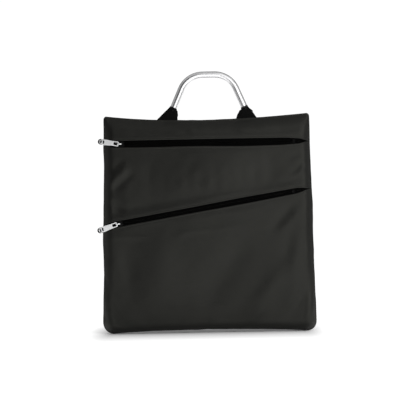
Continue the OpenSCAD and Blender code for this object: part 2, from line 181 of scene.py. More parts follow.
# ---------------- materials
class Nodes:
    """Short names for building the node tree of a new material or world."""

    def __init__(self, owner):
        self.owner = owner
        owner.use_nodes = True
        self.tree = owner.node_tree

    def add(self, kind, **settings):
        node = self.tree.nodes.new("ShaderNode" + kind)
        for key, value in settings.items():
            setattr(node, key, value)
        return node

    def feed(self, socket, value):
        if hasattr(value, "is_output"):
            self.tree.links.new(value, socket)
        else:
            socket.default_value = value

    def set(self, **inputs):
        """Inputs of the material's shader, with _ for each space in their names."""
        shader = self.tree.nodes["Principled BSDF"]
        for key, value in inputs.items():
            self.feed(shader.inputs[key.replace("_", " ")], value)

    def place(self):
        """Object coordinates, which are metres in the row's frame."""
        return self.add("TexCoord").outputs["Object"]

    def axes(self, vector):
        node = self.add("SeparateXYZ")
        self.feed(node.inputs[0], vector)
        return node.outputs

    def math(self, operation, *values):
        node = self.add("Math", operation=operation)
        for socket, value in zip(node.inputs, values):
            self.feed(socket, value)
        return node.outputs[0]

    def noise(self, coords, scale, detail=3.0, rough=0.5):
        node = self.add("TexNoise")
        self.feed(node.inputs["Vector"], coords)
        for key, value in (("Scale", scale), ("Detail", detail), ("Roughness", rough)):
            node.inputs[key].default_value = value
        return node.outputs["Fac"]

    def stretch(self, coords, scale):
        node = self.add("Mapping")
        node.inputs["Scale"].default_value = scale
        self.feed(node.inputs["Vector"], coords)
        return node.outputs["Vector"]

    def ramp(self, value, low, high, start=0.0, end=1.0, smooth=False):
        node = self.add("MapRange", interpolation_type="SMOOTHSTEP" if smooth else "LINEAR")
        limits = (("From Min", start), ("From Max", end), ("To Min", low), ("To Max", high))
        for key, v in (("Value", value), *limits):
            self.feed(node.inputs[key], v)
        return node.outputs["Result"]

    def tint(self, factor, dark, light):
        node = self.add("Mix", data_type="RGBA")
        for key, v in (("Factor", factor), ("A", (*dark, 1)), ("B", (*light, 1))):
            self.feed([i for i in node.inputs if i.name == key and i.enabled][0], v)
        return [o for o in node.outputs if o.enabled][0]

    def bump(self, height, strength, distance, under=None):
        node = self.add("Bump")
        node.inputs["Strength"].default_value = strength
        node.inputs["Distance"].default_value = distance
        self.feed(node.inputs["Height"], height)
        if under is not None:
            self.feed(node.inputs["Normal"], under)
        return node.outputs["Normal"]


def grey(v):
    return (v, v, v * 0.96)


def new_material(name):
    return Nodes(bpy.data.materials.new(name))


def woven(name, dark, light, pitch_mm, rough, sheen):
    """Plain weave in the X-Z plane: crossing threads as bump, with slubs and slow changes of shade."""
    n = new_material(name)
    place = n.place()
    x, _, z = n.axes(place)
    k = 2 * math.pi / (pitch_mm * MM)
    wobble = n.math("MULTIPLY", n.noise(place, 900, 1), 0.7)
    warp = n.math("SINE", n.math("MULTIPLY_ADD", x, k, wobble))
    weft = n.math("SINE", n.math("MULTIPLY_ADD", z, k, wobble))
    ribs = n.math("MAXIMUM", n.math("ABSOLUTE", warp), n.math("ABSOLUTE", weft))
    threads = n.math("MULTIPLY_ADD", n.math("MULTIPLY", warp, weft), 0.5, ribs)
    patches = n.noise(place, 9, 4, 0.55)
    slubs = n.noise(n.stretch(place, (1, 1, 14)), 120, 2)
    shade = n.math("MULTIPLY_ADD", slubs, 0.35, n.math("MULTIPLY", patches, 0.65))
    n.set(
        Base_Color=n.tint(n.ramp(shade, 0, 1, 0.3, 0.7), dark, light),
        Roughness=n.ramp(n.math("ADD", threads, patches), rough + 0.08, rough - 0.06, 0.4, 2.2),
        Sheen_Weight=sheen,
        Sheen_Roughness=0.4,
        Specular_IOR_Level=0.27,
        Specular_Tint=(1, 1, 0.9, 1),
        Normal=n.bump(threads, 0.6, 0.06 * MM, n.bump(n.noise(place, 60, 3), 0.2, 0.6 * MM)),
    )
    return n.owner


def ribbed(name, dark, light, rib_mm, along, rough, gloss=0.2):
    """Webbing or tape: ribs that follow a direction in the X-Z plane, with a fine twill between them."""
    n = new_material(name)
    place = n.place()
    x, _, z = n.axes(place)
    k = math.pi / (rib_mm * MM)
    kx, kz = math.cos(along) * k, math.sin(along) * k
    across = n.math("ADD", n.math("MULTIPLY", x, -kz), n.math("MULTIPLY", z, kx))
    run = n.math("ADD", n.math("MULTIPLY", x, kx), n.math("MULTIPLY", z, kz))
    ribs = n.math("ABSOLUTE", n.math("SINE", across))
    twill = n.math("SINE", n.math("MULTIPLY", n.math("ADD", across, run), 2.2))
    height = n.math("MULTIPLY_ADD", twill, 0.3, ribs)
    fuzz = n.noise(place, 700, 2)
    n.set(
        Base_Color=n.tint(n.math("MULTIPLY", height, fuzz), dark, light),
        Roughness=n.ramp(fuzz, rough - 0.08, rough + 0.1),
        Sheen_Weight=0.02,
        Specular_IOR_Level=gloss,
        Normal=n.bump(height, 0.7, 0.15 * MM),
    )
    return n.owner


def metal(name, tone, rough, grain, grain_scale, streak=(1, 1, 1)):
    """Bare or plated metal: fine scratches along one direction, slow smudges and duller spots."""
    n = new_material(name)
    place = n.place()
    scratches = n.noise(n.stretch(place, streak), grain_scale, 5, 0.65)
    smudge = n.noise(place, 70, 3)
    wear = 0.06
    n.set(
        Base_Color=n.tint(smudge, tuple(c * 0.94 for c in tone), tone),
        Metallic=1.0,
        Roughness=n.math("ADD", n.ramp(scratches, rough - wear, rough + wear), n.ramp(smudge, -0.03, 0.05)),
        Normal=n.bump(scratches, grain, 0.03 * MM),
    )
    return n.owner


def moulded(name, tone, rough, gloss=0.4, grain=0.2):
    """Moulded nylon, thread or lacquer: slight orange peel, and slow changes of shade and gloss."""
    n = new_material(name)
    place = n.place()
    cloud = n.noise(place, 90, 3)
    n.set(
        Base_Color=n.tint(cloud, tuple(c * 0.8 for c in tone), tuple(c * 1.2 for c in tone)),
        Roughness=n.ramp(cloud, rough - 0.06, rough + 0.08),
        Specular_IOR_Level=gloss,
        Normal=n.bump(n.noise(place, 1400, 3), grain, 0.04 * MM),
    )
    return n.owner


SHELL = woven("shell_cloth", grey(0.0045), grey(0.0068), 0.62, 0.34, 0.015)
LINING = woven("lining_cloth", grey(0.010), grey(0.016), 0.4, 0.5, 0.03)
TAPES = {z.name: ribbed(z.name + "_zip_tape", grey(0.0008), grey(0.002), 0.8, z.angle, 0.85, 0.03)
         for z in ZIPS}
WEBBING = ribbed("webbing", grey(0.0012), grey(0.004), 1.5, math.radians(90), 0.75, 0.06)
BINDING = ribbed("binding", grey(0.008), grey(0.014), 0.7, 0, 0.75)
COIL = moulded("coil_nylon", grey(0.0010), 0.5, 0.06)
THREAD = moulded("thread", grey(0.016), 0.7, 0.25, 0.5)
LACQUER = moulded("black_lacquer", grey(0.002), 0.4, 0.12)
FITTING = moulded("fitting_nylon", grey(0.006), 0.5)
ALUMINIUM = metal("tube_aluminium", (0.84, 0.84, 0.85), 0.24, 0.25, 260, (1, 6, 1))
NICKEL = metal("bright_nickel", (0.95, 0.955, 0.96), 0.42, 0.15, 500, (1, 1, 5))
STEEL = metal("pin_steel", (0.55, 0.55, 0.56), 0.3, 0.2, 400)


# ---------------- mesh helpers
def mesh_piece(name, points, faces, material, body, subdivide=0):
    """A new smooth piece from case points. A body of None leaves its ride to the caller."""
    mesh = bpy.data.meshes.new(name)
    mesh.from_pydata([put(p) for p in points], [], [tuple(f) for f in faces])
    mesh.update()
    mesh.materials.append(material)
    mesh.shade_smooth()
    piece = bpy.data.objects.new(name, mesh)
    bpy.context.collection.objects.link(piece)
    if subdivide:
        smooth = piece.modifiers.new("smooth", "SUBSURF")
        smooth.levels = smooth.render_levels = subdivide
        apply_modifiers(piece)
    if body:
        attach(piece, body)
    return piece


def apply_modifiers(piece):
    depsgraph = bpy.context.evaluated_depsgraph_get()
    mesh = bpy.data.meshes.new_from_object(piece.evaluated_get(depsgraph))
    old = piece.data
    piece.modifiers.clear()
    piece.data = mesh
    bpy.data.meshes.remove(old)


def grid_faces(rows, cols, flip=False, base=0, wrap=False):
    """Quads between the rows of a grid whose first point is number base. wrap joins each row's ends."""
    faces = []
    for i in range(rows - 1):
        for j in range(cols if wrap else cols - 1):
            a, b = base + i * cols + j, base + i * cols + (j + 1) % cols
            quad = (a, b, b + cols, a + cols)
            faces.append(quad[::-1] if flip else quad)
    return faces


def closed_sheet(front, back, flip):
    """Points and faces of a closed sheet: two grids joined round their rims."""
    rows, cols = len(front), len(front[0])
    n = rows * cols
    faces = grid_faces(rows, cols, flip) + grid_faces(rows, cols, not flip, n)
    rim = list(range(cols)) + [i * cols + cols - 1 for i in range(1, rows)]
    rim += [(rows - 1) * cols + j for j in range(cols - 2, -1, -1)]
    rim += [i * cols for i in range(rows - 2, 0, -1)]
    for a, b in zip(rim, rim[1:] + rim[:1]):
        quad = (b, a, n + a, n + b)
        faces.append(quad[::-1] if flip else quad)
    return [p for row in front for p in row] + [p for row in back for p in row], faces


def tube_mesh(path, radius, sides, points, faces):
    """Adds a round thread or wire along a path of Vectors to a list of points and faces."""
    base = len(points)
    count = len(path)
    up = Vector((0, -1, 0))
    for i, p in enumerate(path):
        ahead = path[min(i + 1, count - 1)] - path[max(i - 1, 0)]
        ahead.normalize()
        side = ahead.cross(up)
        if side.length < 0.1:
            side = ahead.cross(Vector((0, 0, 1)))
        side.normalize()
        lift = side.cross(ahead)
        for k in range(sides):
            a = 2 * math.pi * k / sides
            points.append(p + side * (radius * math.cos(a)) + lift * (radius * math.sin(a)))
    faces.extend(grid_faces(count, sides, False, base, wrap=True))
    faces.append(tuple(range(base + sides - 1, base - 1, -1)))
    faces.append(tuple(base + (count - 1) * sides + k for k in range(sides)))


def walk(path):
    """Function from distance to the point there on a path of Vectors, and the path's length."""
    lengths = [0.0]
    for a, b in zip(path, path[1:]):
        lengths.append(lengths[-1] + (b - a).length)

    def at(s):
        for i in range(len(path) - 1):
            if s <= lengths[i + 1] or i == len(path) - 2:
                span = lengths[i + 1] - lengths[i]
                return path[i].lerp(path[i + 1], (s - lengths[i]) / span if span else 0.0)

    return at, lengths[-1]


STITCH, STITCH_GAP, THREAD_R = 2.7, 0.9, 0.2
STITCH_INSET = 8
STITCH_STEPS = 6


def stitches(name, path):
    """A run of stitches along a path: each thread rises out of the cloth, lies on it and goes down again."""
    at, length = walk(path)
    points, faces = [], []
    out = Vector((0, -1, 0))
    s = STITCH_INSET
    while s + STITCH < length - STITCH_INSET:
        line = []
        for k in range(STITCH_STEPS + 1):
            t = k / STITCH_STEPS
            sink = -0.35 + 0.45 * math.sin(math.pi * t) ** 0.5
            line.append(at(s + STITCH * t) + out * sink)
        tube_mesh(line, THREAD_R, 6, points, faces)
        s += STITCH + STITCH_GAP
    mesh_piece(name, points, faces, THREAD, "bag")


# ---------------- outline of the case
# How much wider the base is than the top, how far each side bows in, how far the top edge dips and the base
# edge rises in the middle, the corners' radii, and how far in from each seam the cloth reaches its full depth
FLARE = 15.0
BOW = 0.5
TOP_DIP = 9.3
BASE_LIFT = 4.6
TOP_R = 5.5
BASE_R = {-1: 21.0, 1: 18.0}
SIDE_MARGIN, TOP_MARGIN, BASE_MARGIN = 17, 26, 15


def round_in(d, r):
    """How far a round corner draws the side in, at a distance from the corner's edge."""
    return r - math.sqrt(r * r - (r - d) ** 2) if d < r else 0.0


def bell(x, mid, width):
    return math.exp(-(((x - mid) / width) ** 2))


def ripple(s, seed, scale=1.0):
    """Slow irregular wave from -1 to 1 along a seam."""
    return 2 * noise.noise(Vector((s / 17 * scale, seed * 7.3, 0.5)))


def half_w(z, side):
    """Half the case's width at a height, on the left (-1) or right (1)."""
    t = min(1.0, max(0.0, z / CASE_H))
    w = CASE_W / 2 + 0.5 - FLARE / 2 * t - BOW * math.sin(math.pi * t)
    # Slack stretches and dents of each side seam
    if side < 0:
        w += 1.4 * bell(z, 172, 24) + 0.7 * bell(z, 330, 12) - 0.6 * bell(z, 297, 26) - 0.7 * bell(z, 108, 30)
    else:
        w += 1.4 * bell(z, 228, 28) - 0.5 * bell(z, 330, 22) + 0.5 * bell(z, 40, 30)
    w += 0.25 * ripple(z, side)
    return w - round_in(max(0.0, z), BASE_R[side]) - round_in(max(0.0, CASE_H - z), TOP_R)


def top_z(x):
    """Height of the top seam, which dips in the middle and drops sooner from the right corner."""
    t = min(1.0, abs(x) / (CASE_W / 2 - FLARE / 2))
    power = 2.6 if x < 0 else 1.7
    return CASE_H + 0.4 - TOP_DIP * (1 - t**power) + 0.35 * ripple(x, 3) * (1 - t)


def base_z(x):
    """Height of the base seam, which rests at its ends and rises in the middle."""
    t = min(1.0, abs(x) / (CASE_W / 2 - BASE_R[1]))
    return BASE_LIFT * (1 - t**2.8) + 0.3 * (1 + ripple(x, 5)) * (1 - t)


def rise(d, margin):
    """Share of the full depth at a distance in from a seam."""
    return math.sin(math.pi / 2 * min(1.0, max(0.0, d / margin)))


def fill(x, z):
    """How far the case is filled out at a point: 0 on the seam, 1 on the middle."""
    side = -1 if x < 0 else 1
    return (rise(half_w(z, side) - abs(x), SIDE_MARGIN) * rise(top_z(x) - z, TOP_MARGIN)
            * rise(z - base_z(x), BASE_MARGIN))


PUCKER_PEAK, PUCKER_END = 6, 40


def pucker(x, z):
    """Small gathers that run in from the seams, and are highest at PUCKER_PEAK from them."""
    side = -1 if x < 0 else 1
    total = 0.0
    for d, s, seed in ((half_w(z, side) - abs(x), z, side), (top_z(x) - z, x, 8), (z - base_z(x), x, 9)):
        if 0 < d < PUCKER_END:
            near = (d / PUCKER_PEAK) * math.exp(1 - d / PUCKER_PEAK)
            total += near * (0.22 * ripple(s, seed + 20, 1.9) + 0.18 * ripple(s, seed + 30, 0.8))
    return total


# Soft folds that stay in the cloth: start, end, half width and height (outward is positive), all in mm
FRONT_FOLDS = [
    # Long swells that lean to the right across the lower panel
    ((66, 14), (160, 140), 20, 3.4), ((-8, 50), (72, 172), 28, -3.2), ((-100, 40), (-84, 176), 32, 3.0),
    ((-156, 20), (-150, 150), 26, -1.8), ((10, 225), (40, 345), 75, 2.6), ((125, 20), (185, 78), 9, -1.5),
    ((150, 8), (190, 48), 8, 1.2), ((112, 180), (150, 226), 9, -1.3), ((128, 175), (168, 219), 9, 1.3),
    # Creases that run in from the left seam and below the slots
    ((-180, 264), (-142, 300), 6, 1.3), ((-182, 282), (-150, 313), 6, -1.0),
    ((-172, 253), (-134, 288), 7, -1.2), ((-178, 236), (-150, 214), 8, -1.1),
    ((-170, 247), (-138, 227), 6, 0.7),
    ((-180, 173), (-102, 174), 4, 0.5), ((-60, 177), (62, 191), 4, 0.5), ((70, 190), (160, 188), 4, 0.4),
    # Smaller ones at the right seam and round the foot
    ((150, 282), (176, 306), 5, -0.7), ((156, 276), (182, 300), 5, 0.7), ((140, 310), (180, 322), 6, -0.5),
    ((66, 12), (98, 44), 4, 0.9), ((-10, 3), (-3, 26), 5, -0.9), ((-120, 3), (-108, 30), 6, -0.7),
    ((-72, 88), (0, 84), 5, 0.5), ((-60, 60), (22, 56), 6, -0.8), ((-96, 44), (-20, 40), 7, -0.6),
    # The band above the upper slot and the broad middle panel
    ((-60, 374), (-25, 352), 8, -0.6), ((40, 376), (90, 352), 8, 0.5), ((-30, 285), (70, 305), 30, 0.9),
    ((-120, 300), (-70, 250), 26, -0.9), ((60, 265), (150, 300), 24, -0.7),
]
BACK_FOLDS = [
    ((-150, 330), (-40, 250), 22, -1.8), ((20, 300), (150, 350), 20, 1.4), ((-120, 60), (-20, 140), 24, 1.7),
    ((30, 40), (120, 130), 22, -1.8), ((-170, 200), (-120, 160), 9, -1.2), ((150, 240), (110, 180), 10, -1.2),
    ((-40, 6), (-30, 40), 6, -0.9), ((60, 5), (56, 36), 6, -0.9), ((0, 372), (8, 340), 7, -0.8),
    ((-60, 230), (70, 190), 30, 1.2),
]


def fold(x, z, folds):
    total = 0.0
    for (x0, z0), (x1, z1), width, height in folds:
        dx, dz = x1 - x0, z1 - z0
        length = math.hypot(dx, dz)
        t = ((x - x0) * dx + (z - z0) * dz) / length**2
        if -0.4 < t < 1.4:
            away = ((x - x0) * dz - (z - z0) * dx) / length
            total += height * math.exp(-((2.2 * (t - 0.5)) ** 4)) * math.exp(-((away / width) ** 2))
    return total


def crumple(x, z, seed):
    """Slight unevenness of handled cloth: broad dents, and small creases that lean to the right."""
    along, across = (x + z) / 1.41, (z - x) / 1.41
    dents = noise.noise(Vector((x / 70, z / 60, seed * 4)))
    creases = noise.noise(Vector((along / 46, across / 15, seed * 9)))
    return 0.8 * dents + 0.45 * creases * abs(noise.noise(Vector((x / 50, z / 50, seed * 2)))) * 2


# ---------------- cloth panels
# The cloth with its backing is SEAM_T thick at a seam, and CLOTH_T thick from THIN_WITHIN off the seam plane
CLOTH_STEP = 4.0
CLOTH_T, SEAM_T = 1.3, 0.1
THIN_WITHIN = 3
PLATEAU = FRONT_D - 0.8
# A lip's section from its hem on the tape to the flat of the panel: (distance in, height above the flat)
LIP = [(1.6, -2.1), (0.5, -2.05), (0.05, -1.5), (0.0, -0.9), (0.3, -0.25), (1.0, 0.15), (2.0, 0.3),
       (2.9, 0.12), (3.5, -0.12), (4.1, 0.1), (6.5, 0.12)]
# Which point of that section is the bottom of the stitched groove
GROOVE = 8
# A seam's section: (distance in from the outline, distance from the seam plane)
SEAM_CURL = [(1.4, 0.15), (0.0, 1.3)]
EDGE_STEPS = [1.3, 3.2, 6.0, 9.5]


def columns():
    """Across the case: (side, distance in or share of the way across, seam depth)."""
    cols = [("left", d, y) for d, y in SEAM_CURL] + [("left", d, None) for d in EDGE_STEPS]
    count = int(round((CASE_W - 2 * EDGE_STEPS[-1]) / CLOTH_STEP))
    cols += [("between", k / count, None) for k in range(1, count)]
    cols += [("right", d, None) for d in reversed(EDGE_STEPS)]
    cols += [("right", d, y) for d, y in reversed(SEAM_CURL)]
    return cols


def row_list(low, high, low_kind, high_kind):
    """Up a panel: (end, distance in or share of the way up, seam depth, height above the flat)."""
    def end_rows(end, kind):
        if kind == "seam":
            return [(end, d, y, None) for d, y in SEAM_CURL] + [(end, d, None, None) for d in EDGE_STEPS]
        return [(end, d, None, h) for d, h in LIP]

    below, above = end_rows("low", low_kind), end_rows("high", high_kind)
    count = max(2, int(round((high(0) - low(0) - below[-1][1] - above[-1][1]) / CLOTH_STEP)))
    return below + [("between", k / count, None, None) for k in range(1, count)] + above[::-1]


def panel_grid(low, high, low_kind, high_kind, depth, sign):
    """Grid of points of a cloth panel, and which are sewn down. sign is -1 on the front, 1 on the back."""
    start = LIP[-1][0] if low_kind == "lip" else EDGE_STEPS[-1]
    end = LIP[-1][0] if high_kind == "lip" else EDGE_STEPS[-1]

    def z_at(row, x):
        if row[0] == "low":
            return low(x) + row[1]
        if row[0] == "high":
            return high(x) - row[1]
        return (low(x) + start) * (1 - row[1]) + (high(x) - end) * row[1]

    points, sewn = [], []
    for row in row_list(low, high, low_kind, high_kind):
        line, held = [], []
        left = -half_w(z_at(row, -CASE_W / 2), -1)
        right = half_w(z_at(row, CASE_W / 2), 1)
        for where, value, curl in columns():
            if where == "left":
                x = left + value
            elif where == "right":
                x = right - value
            else:
                x = (left + EDGE_STEPS[-1]) * (1 - value) + (right - EDGE_STEPS[-1]) * value
            z = z_at(row, x)
            f = fill(x, z)
            seam = [y for y in (row[2], curl) if y is not None]
            y = min(seam) if seam else SEAM_CURL[-1][1] + (depth - SEAM_CURL[-1][1]) * f
            if not seam and row[3] is not None:
                y += row[3] * min(1.0, 0.25 + f)
            line.append(Vector((x, sign * y, z)))
            held.append(bool(seam) or row[3] is not None)
        points.append(line)
        sewn.append(held)
    return points, sewn


# The simulation runs at ten times life size, where a millimetre is 0.01. The cloth is larger than its outline
# by the share LOOSE, and a point may move MOST_MOVE millimetres.
SIM_SCALE = 0.01
SIM_FRAMES = 24
LOOSE = 0.0008
MOST_MOVE = 1.6


def settle(points, sewn):
    """Lets a panel hang by its sewn rows as slightly oversized cloth. Returns how far each point moves."""
    rows, cols = len(points), len(points[0])
    flat = [p * SIM_SCALE for row in points for p in row]
    mesh = bpy.data.meshes.new("settling")
    mesh.from_pydata(flat, [], grid_faces(rows, cols))
    cloth = bpy.data.objects.new("settling", mesh)
    bpy.context.collection.objects.link(cloth)
    group = cloth.vertex_groups.new(name="sewn")
    group.add([i * cols + j for i in range(rows) for j in range(cols) if sewn[i][j]], 1.0, "REPLACE")
    sim = cloth.modifiers.new("cloth", "CLOTH")
    s = sim.settings
    s.quality, s.mass, s.air_damping = 6, 0.3, 1.5
    s.tension_stiffness = s.compression_stiffness = 18
    s.shear_stiffness, s.bending_stiffness = 8, 3
    s.vertex_group_mass = "sewn"
    s.shrink_min = s.shrink_max = -LOOSE
    sim.collision_settings.use_collision = False
    sim.point_cache.frame_end = SIM_FRAMES
    for f in range(1, SIM_FRAMES + 1):
        bpy.context.scene.frame_set(f)
    done = cloth.evaluated_get(bpy.context.evaluated_depsgraph_get())
    moves = []
    for old, v in zip(flat, done.data.vertices):
        move = (v.co - old) / SIM_SCALE
        moves.append(move * min(1.0, MOST_MOVE / max(move.length, 1e-6)))
    bpy.data.objects.remove(cloth)
    bpy.data.meshes.remove(mesh)
    bpy.context.scene.frame_set(1)
    return [moves[i * cols : (i + 1) * cols] for i in range(rows)]


def cloth_panel(name, node, low, high, low_kind, high_kind, depth, folds, sign):
    """A panel between two edge curves, each a "lip" or a "seam". Returns the grid of its outside face."""
    points, sewn = panel_grid(low, high, low_kind, high_kind, depth, sign)
    for line, moves in zip(points, settle(points, sewn)):
        for p, move in zip(line, moves):
            p += move
    for line, held in zip(points, sewn):
        for p, still in zip(line, held):
            if abs(p.y) > SEAM_CURL[-1][1] + 0.01:
                room = min(1.0, 2 * fill(p.x, p.z)) * (0.4 if still else 1.0)
                p.y += sign * ((fold(p.x, p.z, folds) + crumple(p.x, p.z, sign)) * room + pucker(p.x, p.z))
    inside = []
    for line in points:
        row = []
        for p in line:
            t = CLOTH_T
            if abs(p.y) <= THIN_WITHIN:
                out = max(0.0, abs(p.y) - SEAM_CURL[-1][1])
                t = SEAM_T + (CLOTH_T - SEAM_T) * out / (THIN_WITHIN - SEAM_CURL[-1][1])
            row.append(Vector((p.x, p.y - sign * t, p.z)))
        inside.append(row)
    # The hems lie on the tapes, so there the cloth is thinner
    for kind, rows in ((low_kind, range(len(LIP))), (high_kind, range(-len(LIP), 0))):
        if kind == "lip":
            for i in rows:
                k = i if i >= 0 else -1 - i
                share = min(1.0, max(0.05, (LIP[k][1] + 2.3) / 2.3))
                for p, q in zip(points[i], inside[i]):
                    q.y = p.y + (q.y - p.y) * share
    verts, faces = closed_sheet(points, inside, sign > 0)
    piece = mesh_piece(name, verts, faces, SHELL, "bag", subdivide=1)
    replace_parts(piece, node)
    return points


def slot_edge(z, side):
    """Height of a slot's edge above (1) or below (-1) a zip, as a function of x."""
    return lambda x: z.z(x) + side * z.open_half(x, side) / math.cos(z.angle)


def front_panel(part, *edges):
    return cloth_panel("cloth_front_" + part, f"front_{part}_panel", *edges, PLATEAU, FRONT_FOLDS, -1)


top_grid = front_panel("top", slot_edge(UPPER, 1), top_z, "lip", "seam")
middle_grid = front_panel("middle", slot_edge(LOWER, 1), slot_edge(UPPER, -1), "lip", "lip")
lower_grid = front_panel("lower", base_z, slot_edge(LOWER, -1), "seam", "lip")
cloth_panel("cloth_back", "back_panel", base_z, top_z, "seam", "seam", BACK_D - 0.4, BACK_FOLDS, 1)
stitches("stitches_upper_top", top_grid[GROOVE])
stitches("stitches_upper_bottom", middle_grid[-1 - GROOVE])
stitches("stitches_lower_top", middle_grid[GROOVE])
stitches("stitches_lower_bottom", lower_grid[-1 - GROOVE])


# ---------------- zips
TAPE_T = 0.6
TAPE_NEAR, TAPE_FAR = 0.45, 15.0
TAPE_SEWN_IN = 2.2
COIL_PITCH = 1.35
COIL_NEAR, COIL_FAR = 0.4, 3.35
COIL_STEPS = 12
WIRE_R = 0.27


def panel_inner(x, z):
    """Depth of the front panels' inside face, which the zip tapes are sewn to."""
    return SEAM_CURL[-1][1] + (PLATEAU - 2.2 - SEAM_CURL[-1][1]) * fill(x, z)


def zip_tape(z, side):
    """One woven tape: it lies behind the lip, turns down at both side seams, and waves a little between."""
    rows, cols = 8, 96
    wide = TAPE_FAR - TAPE_NEAR
    front, back = [], []
    for i in range(rows):
        n = side * (TAPE_NEAR + wide * (i / (rows - 1)) ** 1.4)
        line = []
        for j in range(cols):
            lift = n / math.cos(z.angle)
            x_left, x_right = (s * half_w(z.z(s * CASE_W / 2) + lift, s) for s in (-1, 1))
            x = x_left + TAPE_SEWN_IN + (x_right - x_left - 2 * TAPE_SEWN_IN) * j / (cols - 1)
            zz = z.z(x) + lift
            y = -min(-z.tape_y, panel_inner(x, zz)) + 0.1 * noise.noise(Vector((x / 30, n / 9, z.z0)))
            line.append(Vector((x, y + 0.12 * abs(n) / TAPE_FAR, zz)))
        front.append(line)
        back.append([p + Vector((0, TAPE_T, 0)) for p in line])
    node = z.name + ("_tape_top" if side > 0 else "_tape_bottom")
    verts, faces = closed_sheet(front, back, side < 0)
    piece = mesh_piece("cloth_" + node, verts, faces, TAPES[z.name], "bag")
    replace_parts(piece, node)


def zip_coil(z, side):
    """One row of the coil: a flattened helix of nylon wire, with a wider head on each turn."""
    wide = COIL_FAR - COIL_NEAR - 2 * WIRE_R
    mid_n = side * (COIL_NEAR + WIRE_R + wide / 2)
    deep = z.tape_y - z.coil_front - 2 * WIRE_R - 0.05
    mid_y = (z.tape_y + z.coil_front) / 2
    turns = int((z.end - z.start - 1) / COIL_PITCH)
    points, faces, path = [], [], []
    phase = 0 if side > 0 else 0.5
    for k in range(turns * COIL_STEPS + 1):
        a = 2 * math.pi * k / COIL_STEPS
        c, d = math.cos(a), math.sin(a)
        s = z.start + 0.6 + (k / COIL_STEPS + phase) * COIL_PITCH
        n = mid_n + side * wide / 2 * c * (1.25 - 0.25 * c * c)
        y = mid_y + deep / 2 * d * (1.2 - 0.2 * d * d)
        path.append(Vector(z.at(s, n, y)))
    tube_mesh(path, WIRE_R, 5, points, faces)
    node = z.name + ("_coil_top" if side > 0 else "_coil_bottom")
    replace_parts(mesh_piece(node + "_wire", points, faces, COIL, "bag"), node)


def plate(name, outline, holes, thick, bevel, material, body, place, replaced=()):
    """A flat bevelled part cut to an outline. place carries (along, across, out) to a case point."""
    curve = bpy.data.curves.new(name, "CURVE")
    curve.dimensions = "2D"
    curve.fill_mode = "BOTH"
    curve.extrude = (thick / 2 - bevel) * MM
    curve.bevel_depth = bevel * MM
    curve.bevel_resolution = 3
    curve.offset = -bevel * MM
    for loop in [outline, *holes]:
        spline = curve.splines.new("POLY")
        spline.points.add(len(loop) - 1)
        for p, (a, b) in zip(spline.points, loop):
            p.co = (a * MM, b * MM, 0, 1)
        spline.use_cyclic_u = True
    flat = bpy.data.objects.new(name, curve)
    bpy.context.collection.objects.link(flat)
    mesh = bpy.data.meshes.new_from_object(flat.evaluated_get(bpy.context.evaluated_depsgraph_get()))
    bpy.data.objects.remove(flat)
    for v in mesh.vertices:
        v.co = put(place(v.co.x / MM, v.co.y / MM, v.co.z / MM))
    mesh.materials.clear()
    mesh.materials.append(material)
    mesh.shade_smooth()
    mesh.set_sharp_from_angle(angle=math.radians(50))
    piece = bpy.data.objects.new(name, mesh)
    bpy.context.collection.objects.link(piece)
    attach(piece, body)
    if replaced:
        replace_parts(piece, *replaced)
    return piece


def arc(cx, cy, r, start, end, count):
    """Points of an arc between two angles in degrees."""
    turns = [math.radians(start + (end - start) * k / count) for k in range(count + 1)]
    return [(cx + r * math.cos(a), cy + r * math.sin(a)) for a in turns]


def rounded(x0, y0, x1, y1, r, count=5):
    """Outline of a rectangle with round corners."""
    return (arc(x1 - r, y1 - r, r, 0, 90, count) + arc(x0 + r, y1 - r, r, 90, 180, count)
            + arc(x0 + r, y0 + r, r, 180, 270, count) + arc(x1 - r, y0 + r, r, 270, 360, count))


# Pull tab: its length, its width at the free end and at the eye, and its thickness
PULL_LEN, PULL_W, EYE_END_W, TAB_T = 36.4, 10.5, 8.6, 1.5
EYE_LEN, EYE_W = 8.3, 5.0
SLOT_L, SLOT_W = 6.0, 2.5
# From the free end to the middle of each slot
SLOTS_BACK = (5.3, 9.8)
# The plate's round end is drawn in to show the core there as a painted dark rim, for the shade on the tab's
# rounded end; the core's sides are slimmer by CORE_SLIM
PAINTED_SHADE_RIM, CORE_SLIM = 1.6, 0.25


def pull_tab(z):
    """Plated tab on a black core that shows in its two short slots, and past its free end as a painted dark rim
    for the shade on the tab's rounded end.
    """
    tab = z.pull
    across = Vector((-tab.z, 0, tab.x))

    def place(a, b, out):
        return z.bar + tab * a + across * b + Vector((0, -out, 0))

    def outline(rim, slim):
        """Waisted tab with a round end, drawn in by a rim at the end and made slimmer along its sides."""
        end, half, near = PULL_LEN - PULL_W / 2, PULL_W / 2 - slim, EYE_END_W / 2 - slim
        side = [(1.2 + slim, near), (10, near - 0.1), (20, half - 0.35), (25, half - rim * 0.1)]
        return ([(a, -b) for a, b in side] + arc(end - rim, 0, half - rim * 0.4, -90, 90, 20) + side[::-1]
                + arc(0.6 + slim, near - 1.6, 1.4, 110, 180, 4)
                + arc(0.6 + slim, 1.6 - near, 1.4, 180, 250, 4))

    eye = rounded(0.8, -EYE_W / 2, EYE_LEN, EYE_W / 2, 1.3)
    slots = []
    for back in SLOTS_BACK:
        mid = PULL_LEN - back
        slots.append(rounded(mid - SLOT_W / 2, -SLOT_L / 2, mid + SLOT_W / 2, SLOT_L / 2, 1.1))
    body = z.name + "_pull"
    plate(z.name + "_pull_plate", outline(PAINTED_SHADE_RIM, 0.0), [eye, *slots], TAB_T, 0.28, NICKEL,
          body, place, [z.name + "_pull_tab"])
    # The core's round end reaches past the plate's: a painted dark rim for the shade on the tab's rounded end.
    plate(z.name + "_pull_core", outline(-CORE_SLIM, CORE_SLIM), [eye], TAB_T - 0.8, 0.15, LACQUER,
          body, place)


